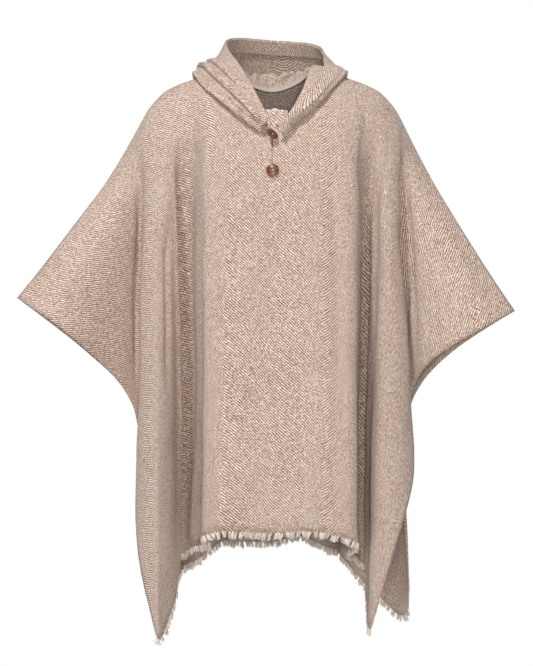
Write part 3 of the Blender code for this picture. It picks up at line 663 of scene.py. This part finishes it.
def build_panel(name, points, where, turned, slit=None):
    """A panel as one sheet; the front is cut down its middle column as far as the slit."""
    nu, nv = points.shape[:2]
    flat_points = points.reshape(-1, 3)
    quads = grid_quads(nu, nv, turned)
    uv = where.reshape(-1, 2)
    if slit is not None:
        cut = [j for j in range(nv) if where[slit, j, 1] < SLIT_END]
        fade = np.clip((SLIT_END - where[slit, cut, 1]) / SLIT_FADE, 0, 1)[:, None]
        ids = np.array([slit * nv + j for j in cut])
        right = flat_points[ids] + fade * np.array(RIGHT_LIP)
        left = flat_points[ids] + fade * np.array(LEFT_LIP)
        fresh = {int(k): len(flat_points) + n for n, k in enumerate(ids)}
        flat_points = np.concatenate([flat_points, right])
        flat_points[ids] = left
        uv = np.concatenate([uv, uv[ids]])
        first = slit * (nv - 1)
        for n in range(first, first + nv - 1):
            quads[n] = [fresh.get(k, k) if k // nv == slit else k for k in quads[n]]
    return tell_mesh(name, flat_points, quads, uv)


front_points, front_where = dressed(front_grid, front_flat, FRONT_CREASES, -1, 11)
back_points, back_where = dressed(back_grid, back_flat, BACK_CREASES, 1, 23)
middle = int(np.argmin(np.abs(front_u - (len(FRONT_LEFT) - 1)))) * FINE_U
front = build_panel("poncho_front", front_points, front_where, False, slit=middle)
back = build_panel("poncho_back", back_points, back_where, True)
for piece, node in ((front, "front"), (back, "back")):
    thicken(piece, CLOTH)
    finish_piece(piece, TWEED, "wool", node)


# The hood
def neck_line(bearing):
    """The body's neck edge at a bearing in degrees, 0 to the right and 90 at the back."""
    b = np.radians(np.atleast_1d(bearing))
    out = np.zeros((len(b), 3))
    for side, depth, table in ((-1, NECK_FRONT, front_table), (1, NECK_BACK, back_table)):
        pick = (np.sin(b) < 0) if side < 0 else (np.sin(b) >= 0)
        start = NECK_HALF * np.cos(b[pick])
        fine = np.linspace(0, len(table) - 1, 4001)
        u = np.interp(start, through(table, fine)[:, 0], fine)
        out[pick] = cloth(table, u, neck_depth(start, depth), side)
    return out


def hood_points():
    """The hood's sections: up from the neck seam, over a crest, down to the lower fold and
    back up the outside to the face edge, on splines through seven places each."""
    u = np.linspace(0, len(HOOD) - 1, HOOD_COLUMNS)
    c = through(HOOD, u)
    seam = neck_line(c[:, 0])
    middle_xy = np.array([0.0, -0.015])
    inward = middle_xy - seam[:, :2]
    inward /= np.linalg.norm(inward, axis=1)[:, None]
    seam[:, :2] += inward * 0.0045
    seam[:, 2] += 0.001
    fold, rim = c[:, 1:4], c[:, 4:7]
    lift, belly = c[:, 7], c[:, 8]
    away = np.stack([fold[:, 0] - middle_xy[0], fold[:, 1] - middle_xy[1], 0 * u], 1)
    away /= np.linalg.norm(away, axis=1)[:, None]
    up = np.array([0.0, 0.0, 1.0])
    crest = seam + up * lift[:, None] + away * (0.30 * lift + 0.0035)[:, None]
    lower = 0.5 * (crest + fold) + away * (0.1 * lift)[:, None] + up * (0.25 * lift)[:, None]
    swell = 0.45 * fold + 0.55 * rim + away * belly[:, None]
    grid, sides = [], []
    for k in range(HOOD_COLUMNS):
        fall = fold[k] - crest[k]
        fall /= np.linalg.norm(fall)
        out = up * fall.dot(away[k]) - away[k] * fall[2]
        out /= np.linalg.norm(out)
        radius = FOLD_ROUND + 0.12 * belly[k]
        under = fold[k] - radius * (fall + 0.8 * out)
        over = fold[k] - radius * (fall - 1.2 * out)
        grid.append(spline([seam[k], crest[k], lower[k], under, over, swell[k], rim[k]], HOOD_AT))
        sides.append(out)
    return np.array(grid), np.array(sides)


def clear_of(grid, panels, gaps):
    """Moves points out along the panels' normals until each row keeps its gap to them."""
    verts, faces = [], []
    for points, side in panels:
        base, (nu, nv) = len(verts), points.shape[:2]
        verts += [tuple(q) for q in points.reshape(-1, 3)]
        faces += [tuple(base + k for k in f) for f in grid_quads(nu, nv, side < 0)]
    tree = BVHTree.FromPolygons(verts, faces)
    centre = Vector((0.0, 0.0, -0.15))
    for row in grid:
        for j, gap in enumerate(gaps):
            for turn in range(3 if gap > 0 else 0):
                near, normal = tree.find_nearest(Vector(row[j]))[:2]
                if normal.dot(near - centre) < 0:
                    normal = -normal
                short = gap - (Vector(row[j]) - near).dot(normal)
                if short > 0:
                    row[j] += np.array(normal) * short
    return grid


def part_layers(grid, sides, at):
    """Keeps the hood's outer layer off its inner layer, section by section, then eases it."""
    inner = np.nonzero(at <= 3.0)[0]
    first = int(np.argmax(at >= 4.0))
    for turn in range(4):
        if turn > 0:
            ease = grid[:, first - 1:-2] + grid[:, first + 1:] - 2 * grid[:, first:-1]
            grid[:, first:-1] += 0.25 * ease
            ease = grid[:-2, first:] + grid[2:, first:] - 2 * grid[1:-1, first:]
            grid[1:-1, first:] += 0.25 * ease
        for k in range(len(grid)):
            line = grid[k][inner]
            fine = np.concatenate([line[i] + (line[i + 1] - line[i]) * np.linspace(0, 1, 9)[:, None]
                                   for i in range(len(line) - 1)])
            for j in range(first, len(at)):
                need = LAYERS_APART * min(1.0, 0.85 + 0.15 * (at[j] - 4.0))
                near = fine[np.argmin(np.linalg.norm(fine - grid[k, j], axis=1))]
                short = need - (grid[k, j] - near).dot(sides[k])
                if short > 0 and np.linalg.norm(near - grid[k, j]) < need:
                    grid[k, j] += sides[k] * short
    return grid


HOOD_U, HOOD_V = 6, 10
at = np.array(HOOD_AT, float)
hood_grid, hood_sides = hood_points()
gaps = np.interp(at, (1, 2.8, 3.2, 3.8, 6), (0.0034, 0.0036, 0.004, 0.009, 0.011)) * (at >= 0.9)
hood_grid = clear_of(hood_grid, ((front_grid, -1), (back_grid, 1)), gaps)
hood_grid = part_layers(hood_grid, hood_sides, at)


def hood_flat(grid):
    """Flat places for the hood's weave: lengths along its middle row and down each column."""
    row = grid[:, len(HOOD_AT) // 2]
    across = np.concatenate(([0.0], np.cumsum(np.linalg.norm(np.diff(row, axis=0), axis=1))))
    down = np.cumsum(np.linalg.norm(np.diff(grid, axis=1, prepend=grid[:, :1]), axis=2), axis=1)
    return np.stack([np.repeat((across - across.mean())[:, None], grid.shape[1], 1), down], 2)


# Folds along the outside of the hood: from and to are places round the hood in the table's
# rows, at_from and at_to are how far up from the lower fold (4) to the rim (6). A ridge is
# round. Where rise is negative, the cloth above the line laps over the cloth below it.
HOOD_FOLDS = (
    # from, at_from, to, at_to, width, rise
    (7.5, 4.22, 11.9, 4.50, 0.20, 0.0050),
    (7.3, 4.60, 12.0, 5.02, 0.09, -0.0145),
    (7.6, 5.05, 10.1, 5.41, 0.08, -0.0085),
    (0.9, 4.70, 4.4, 5.00, 0.40, 0.0030),
)


def hood_field(u, a):
    """Height of the ridges and laps on the outside of the hood, and how far the cloth above a
    lap's line slumps down over it: a lap rises sharply at its line and dies out upwards."""
    height = np.zeros(np.broadcast(u, a).shape)
    slump = np.zeros(height.shape)
    for u1, a1, u2, a2, width, rise in HOOD_FOLDS:
        share = (u - u1) / (u2 - u1)
        centre = a1 + (a2 - a1) * share
        ends = smooth(share, 0.0, 0.15) * (1 - smooth(share, 0.85, 1.0))
        if rise > 0:
            height = height + rise * ends * np.exp(-((a - centre) / width) ** 2)
            continue
        past = a - centre
        lap = smooth(past, -0.025, 0.035) * np.exp(-np.clip(past, 0, 9) / (3.5 * width))
        under = np.exp(-((past + width) / width) ** 2)
        height = height - rise * ends * (lap - 0.45 * under)
        slump = slump - rise * ends * np.exp(-((past - 0.5 * width) / width) ** 2)
    return height, slump


hood_points_fine = refine(hood_grid, HOOD_U, HOOD_V)
hood_uv = refine(hood_flat(hood_grid), HOOD_U, HOOD_V)
fine_u = np.linspace(0, len(HOOD) - 1, hood_points_fine.shape[0])[:, None]
fine_at = spline(at, np.linspace(0, len(at) - 1, hood_points_fine.shape[1]))[None, :]
hood_out = normals(hood_points_fine)
lump = 0.0010 * ripple_noise(hood_uv[:, :, 0], hood_uv[:, :, 1], 31, 0.07)
crumple = 0.0050 * ripple_noise(hood_uv[:, :, 0], hood_uv[:, :, 1] * 2.0, 37, 0.055)
crumple *= smooth(fine_u, 3.6, 4.8) * (1 - smooth(fine_u, 7.4, 8.4))
crumple = crumple * smooth(fine_at, 0.2, 0.7) * (1 - smooth(fine_at, 1.2, 2.0))
fold, slump = hood_field(fine_u, fine_at)
raised = (fold + lump) * smooth(fine_at, 0.3, 1.0) + crumple
upward = np.gradient(hood_points_fine, axis=1)
upward /= np.linalg.norm(upward, axis=2, keepdims=True)
hood_points_fine = hood_points_fine + hood_out * raised[:, :, None] - upward * 0.45 * slump[:, :, None]
seam_edge = (1 - smooth(fine_at, 0.10, 0.30)) * np.ones_like(fine_u)
hood = tell_mesh("poncho_hood", hood_points_fine, grid_quads(*hood_points_fine.shape[:2], True),
                 hood_uv, {"raw edge": seam_edge})
thicken(hood, CLOTH)
finish_piece(hood, TWEED_HOOD, "wool", "hood")


def hem_band(points, wide=0.029):
    """The hood's face edge turned inward: a band of points moved in from the hood's own."""
    out = normals(points)
    band, flat = [], []
    for k in range(HOOD_U, len(points) - HOOD_U):
        back = points[k, ::-1]
        along = np.concatenate(([0.0], np.cumsum(np.linalg.norm(np.diff(back, axis=0), axis=1))))
        depth = min(wide, 0.42 * along[7 * HOOD_V])
        share = np.array((0.0, 0.06, 0.2, 0.4, 0.6, 0.8, 0.94, 1.0))
        far = 0.0012 + share * (depth - 0.0012)
        q = np.stack([np.interp(far, along, back[:, i]) for i in range(3)], 1)
        n = np.stack([np.interp(far, along, out[k, ::-1, i]) for i in range(3)], 1)
        n /= np.linalg.norm(n, axis=1)[:, None]
        band.append(q - n * (WALL / 2 + 0.0008 + HEM_THICK / 2))
        flat.append(np.stack([np.full(8, hood_uv[k, 0, 0]), 0.5 + far], 1))
    return np.array(band), np.array(flat)


band, band_flat = hem_band(hood_points_fine)
hood_hem = tell_mesh("poncho_hood_hem", band, grid_quads(*band.shape[:2]), band_flat)
thicken(hood_hem, HEM_THICK)
finish_piece(hood_hem, TWEED_INSIDE, "wool", "hood_hem")


def build_placket():
    """The strip behind the slit: the front's own points moved in, standing up in the neck."""
    inside = normals(front_grid)
    inside *= np.sign(inside[:, :, 1:2])
    middle_u = int(np.argmin(np.abs(through(front_table, front_u)[:, 0])))
    moved = (0.0110, 0.0090, 0.0058, 0.0037, 0.0026)
    points, flat = [], []
    for k in range(middle_u - 1, middle_u + 3):
        start = through(front_table, front_u[k:k + 1])[0, 0]
        wave = 0.004 * math.cos(90 * start)
        rows = np.array((0.121 - wave, 0.130, 0.140))
        free = cloth(front_table, np.full(3, front_u[k]), rows, -1) + np.array((0.0, moved[0], 0.0))
        laid = [front_grid[k, j] + inside[k, j] * moved[j] for j in range(5)]
        points.append(np.concatenate([free, laid]))
        down = np.concatenate([rows, front_flat[k, :5, 1]])
        flat.append(np.stack([np.full(8, start), down], 1))
    fine, where = refine(np.array(points), 8, 6), refine(np.array(flat), 8, 6)
    top = 1 - smooth(where[:, :, 1], 0.118, 0.136)
    fine[:, :, 2] += 0.0022 * top * ripple_noise(where[:, :, 0], 0 * where[:, :, 1], 41, 0.018)
    fine[:, :, 1] += 0.0010 * top * ripple_noise(where[:, :, 0], where[:, :, 1], 43, 0.022)
    raw = 1 - smooth(where[:, :, 1], 0.120, 0.125)
    obj = tell_mesh("poncho_placket", fine, grid_quads(*fine.shape[:2]), where, {"raw edge": raw})
    return thicken(obj, PLACKET_THICK)


placket = finish_piece(build_placket(), TWEED_INSIDE, "wool", "placket")


# Fringe on both hems
def tubes(paths, widths, sides=4):
    """Tubes along many paths at once, as points and faces: rings of a few points about each
    path, as wide as told at each step, and closed at both ends."""
    count, steps = paths.shape[:2]
    ahead = np.gradient(paths, axis=1)
    ahead /= np.linalg.norm(ahead, axis=2)[:, :, None]
    across = np.cross(ahead, np.array((0.31, 0.87, 0.39)))
    across /= np.linalg.norm(across, axis=2)[:, :, None]
    other = np.cross(ahead, across)
    angle = np.arange(sides) * 2 * math.pi / sides
    ring = across[:, :, None] * np.cos(angle)[None, None, :, None]
    ring = ring + other[:, :, None] * np.sin(angle)[None, None, :, None]
    points = paths[:, :, None] + ring * widths[:, :, None, None]
    base = (np.arange(count)[:, None, None] * steps + np.arange(steps - 1)[None, :, None]) * sides
    k = np.arange(sides)[None, None, :]
    nxt = (k + 1) % sides
    quads = np.stack([base + k, base + nxt, base + sides + nxt, base + sides + k], 3).reshape(-1, 4)
    first = np.arange(count)[:, None] * steps * sides
    caps = np.concatenate([first + np.arange(sides)[::-1][None, :],
                           first + (steps - 1) * sides + np.arange(sides)[None, :]])
    return points.reshape(-1, 3), quads.tolist() + caps.tolist()


def fringe(name, node, points, seed, locks, per_lock):
    """Locks of loose yarn along a hem: each lock is a bundle of strands that leaves the hem
    square to it, gathers, splays and curls by its own seeded amounts."""
    chance = np.random.default_rng(seed)
    hem, above = points[:, -1], points[:, -3]
    fall = hem - above
    fall /= np.linalg.norm(fall, axis=1)[:, None]
    along = np.concatenate(([0.0], np.cumsum(np.linalg.norm(np.diff(hem, axis=0), axis=1))))
    place = (np.arange(locks) + 0.5 + chance.uniform(-0.22, 0.22, locks)) / locks * along[-1]
    spread = along[-1] / locks
    strands = locks * per_lock
    lock = np.repeat(np.arange(locks), per_lock)
    root = np.clip(place[lock] + chance.uniform(-0.52, 0.52, strands) * spread, 0, along[-1])
    start = np.stack([np.interp(root, along, hem[:, i]) for i in range(3)], 1)
    down = np.stack([np.interp(root, along, fall[:, i]) for i in range(3)], 1)
    side = np.stack([np.interp(root, along, np.gradient(hem[:, i], along)) for i in range(3)], 1)
    side /= np.linalg.norm(side, axis=1)[:, None]
    down -= side * np.sum(down * side, axis=1)[:, None]
    down /= np.linalg.norm(down, axis=1)[:, None]
    out = np.cross(side, down)
    length = (chance.uniform(0.0115, 0.0165, locks)[lock]) * chance.uniform(0.75, 1.05, strands)
    lean = chance.normal(0, 0.20, locks)[lock] + chance.normal(0, 0.10, strands)
    pull = (place[lock] - root) * chance.uniform(0.35, 0.75, strands)
    curl = chance.normal(0, 0.0016, strands)
    puff = chance.uniform(-0.0013, 0.0013, strands)
    steps = 6
    t = np.linspace(0, 1, steps)[None, :, None]
    length, lean, pull = length[:, None, None], lean[:, None, None], pull[:, None, None]
    curl, puff, phase = curl[:, None, None], puff[:, None, None], root[:, None, None] * 900
    wander = np.sin(math.pi * t) * curl + lean * length * t ** 1.4 + pull * np.sin(t * math.pi * 0.75)
    paths = start[:, None] + down[:, None] * (length * t - 0.0025)
    paths = paths + side[:, None] * wander
    paths = paths + out[:, None] * (puff * (0.6 + t) + 0.0012 * np.sin(2.4 * t + phase))
    width = chance.uniform(0.00060, 0.00095, strands)[:, None] * (1 - 0.45 * t[0, :, 0][None, :] ** 2)
    verts, quads = tubes(paths, width)
    tone = np.repeat(chance.uniform(0, 1, strands), steps * 4)
    where = np.tile(np.repeat(np.linspace(0, 1, steps), 4), strands)
    obj = tell_mesh(name, verts, quads, None, {"strand": tone, "down the strand": where})
    return finish_piece(obj, FRINGE, "wool", node)


def hem_points(points, table, u, length, extra):
    """The stretch of a fine panel whose last row lies on the hem."""
    c = through(table, u)
    turn = np.radians(c[:, 1])
    spare = half_at(turn, extra) - np.abs(c[:, 0]) - np.tan(np.abs(turn)) * length
    on = np.nonzero((spare > -1e-3) & (np.abs(c[:, 1]) < 45))[0]
    return points[on[0] * FINE_U:on[-1] * FINE_U + 1]


front_hem = hem_points(front_points, front_table, front_u, FRONT_LENGTH, 0.0)
back_hem = hem_points(back_points, back_table, back_u, BACK_LENGTH, BACK_SPARE)
fringe_front = fringe("poncho_fringe_front", "fringe_front", front_hem, 3, 110, 16)
fringe_back = fringe("poncho_fringe_back", "fringe_back", back_hem, 5, 118, 16)


# Buttons
def button(name, node, centre, facing, streak):
    """A turned button: a profile swept round, with two holes sunk in its dished face."""
    r, t = BUTTON_D / 2, BUTTON_T
    profile = np.array(((0.0, 0.20 * t), (0.14 * r, 0.205 * t), (0.30 * r, 0.23 * t), (0.48 * r, 0.30 * t),
                        (0.62 * r, 0.40 * t), (0.74 * r, 0.475 * t), (0.84 * r, 0.49 * t),
                        (0.92 * r, 0.43 * t), (0.975 * r, 0.28 * t), (r, 0.06 * t),
                        (0.985 * r, -0.14 * t), (0.90 * r, -0.32 * t), (0.66 * r, -0.44 * t),
                        (0.34 * r, -0.49 * t), (0.0, -0.50 * t)))
    fine = spline(profile, np.linspace(0, len(profile) - 1, 57))
    fine[:, 0] = np.clip(fine[:, 0], 1e-5, r)
    turns = 72
    a = np.arange(turns) * 2 * math.pi / turns
    x, y = fine[:, 0][:, None] * np.cos(a), fine[:, 0][:, None] * np.sin(a)
    z = np.repeat(fine[:, 1][:, None], turns, 1)
    face = np.arange(len(fine))[:, None] < 22
    for hole in (-1, 1):
        near = np.hypot(x - hole * 0.17 * r, y)
        z = z - face * 0.30 * t * (1 - smooth(near, 0.045 * r, 0.10 * r))
    n = Vector(facing).normalized()
    turn = Vector((0, 0, 1)).rotation_difference(n).to_matrix()
    spin = np.array(turn) @ np.array([[math.cos(streak), -math.sin(streak), 0],
                                      [math.sin(streak), math.cos(streak), 0], [0, 0, 1]])
    points = np.stack([x, y, z], 2).reshape(-1, 3) @ spin.T + np.array(centre)
    ring, base = np.arange(turns), np.arange(len(fine) - 1)[:, None] * turns
    following = (ring + 1) % turns
    quads = np.stack([base + ring, base + turns + ring, base + turns + following, base + following], 2)
    quads = quads.reshape(-1, 4).tolist() + [ring.tolist(), ((len(fine) - 1) * turns + ring[::-1]).tolist()]
    obj = finish_piece(tell_mesh(name, points, quads), HORN, "button", node)
    loops = []
    for shift in (-0.00045, 0.0, 0.00045):
        way = np.linspace(0, math.pi, 9)
        loop = np.stack([-0.17 * r * np.cos(way), np.full(9, shift), 0.02 * t + 0.30 * t * np.sin(way)], 1)
        loops.append(loop @ spin.T + np.array(centre))
    verts, faces = tubes(np.array(loops), np.full((3, 9), 0.00032), 6)
    finish_piece(tell_mesh(name + "_thread", verts, faces), THREAD, "wool")
    return obj


button_lower = button("poncho_button_lower", "button_lower", (0.001, -0.1244, -0.1573),
                      (-0.03, -0.99, 0.14), 0.5)
button_upper = button("poncho_button_upper", "button_upper", (0.001, -0.1175, -0.0914),
                      (0.53, -0.57, 0.63), 1.2)


# Floor, light and camera
def floor():
    """A plain pale square under the garment."""
    s = Shader("pale floor")
    coat = s.node("ShaderNodeTexCoord").outputs["Object"]
    s.set(base_color=s.mix(s.noise(coat, 3.0), (0.93, 0.93, 0.93, 1), (0.95, 0.95, 0.95, 1)), roughness=0.9)
    size = 2.1
    corners = [(-size, -size, FLOOR), (size, -size, FLOOR), (size, size, FLOOR), (-size, size, FLOOR)]
    obj = tell_mesh("studio_floor", corners, [(0, 1, 2, 3)])
    obj.data.materials.append(s.material)


def softbox(name, place, aim, size, watts):
    """A round soft light at a place, turned toward another."""
    light = bpy.data.lights.new(name, "AREA")
    light.shape = "DISK"
    light.size = size
    light.energy = watts
    obj = bpy.data.objects.new(name, light)
    obj.location = place
    obj.rotation_euler = (Vector(aim) - Vector(place)).to_track_quat("-Z", "Y").to_euler()
    bpy.context.collection.objects.link(obj)


floor()
softbox("key softbox", (-0.8, -2.2, 2.8), (0, 0, -0.4), 0.35, 102)
softbox("front softbox", (0.1, -3.5, -0.30), (0, 0, -0.3), 0.5, 43)


def studio():
    """White behind the garment and a dimmer grey all round it: brightness follows how
    nearly a direction points to the back."""
    world = bpy.data.worlds.new("white studio")
    world.use_nodes = True
    tree = world.node_tree
    where = tree.nodes.new("ShaderNodeTexCoord")
    parts = tree.nodes.new("ShaderNodeSeparateXYZ")
    bright = tree.nodes.new("ShaderNodeMapRange")
    bright.interpolation_type = "SMOOTHSTEP"
    for key, value in (("From Min", 0.55), ("From Max", 0.90), ("To Min", 0.30), ("To Max", 1.0)):
        bright.inputs[key].default_value = value
    tree.links.new(where.outputs["Generated"], parts.inputs[0])
    tree.links.new(parts.outputs["Y"], bright.inputs["Value"])
    tree.links.new(bright.outputs["Result"], tree.nodes["Background"].inputs["Strength"])
    tree.nodes["Background"].inputs["Color"].default_value = (1, 1, 1, 1)
    bpy.context.scene.world = world


studio()
bpy.context.scene.view_settings.view_transform = "Standard"

PIXEL = 0.00186          # metres to a pixel of the photograph, at the shoulder line
ORIGIN = (272, 90)       # the pixel where the shoulder line's middle is
WIDE, HIGH = 533, 666    # the photograph's size in pixels
SENSOR = 36
DISTANCE = 4.5
camera = bpy.data.cameras.new("camera")
camera.sensor_fit = "HORIZONTAL"
camera.sensor_width = SENSOR
camera.lens = SENSOR * DISTANCE / (WIDE * PIXEL)
camera.shift_x = (WIDE / 2 - ORIGIN[0]) / WIDE
camera_object = bpy.data.objects.new("camera", camera)
camera_object.location = (0, -DISTANCE, (ORIGIN[1] - HIGH / 2) * PIXEL)
camera_object.rotation_euler = (math.pi / 2, 0, 0)
bpy.context.collection.objects.link(camera_object)
bpy.context.scene.camera = camera_object
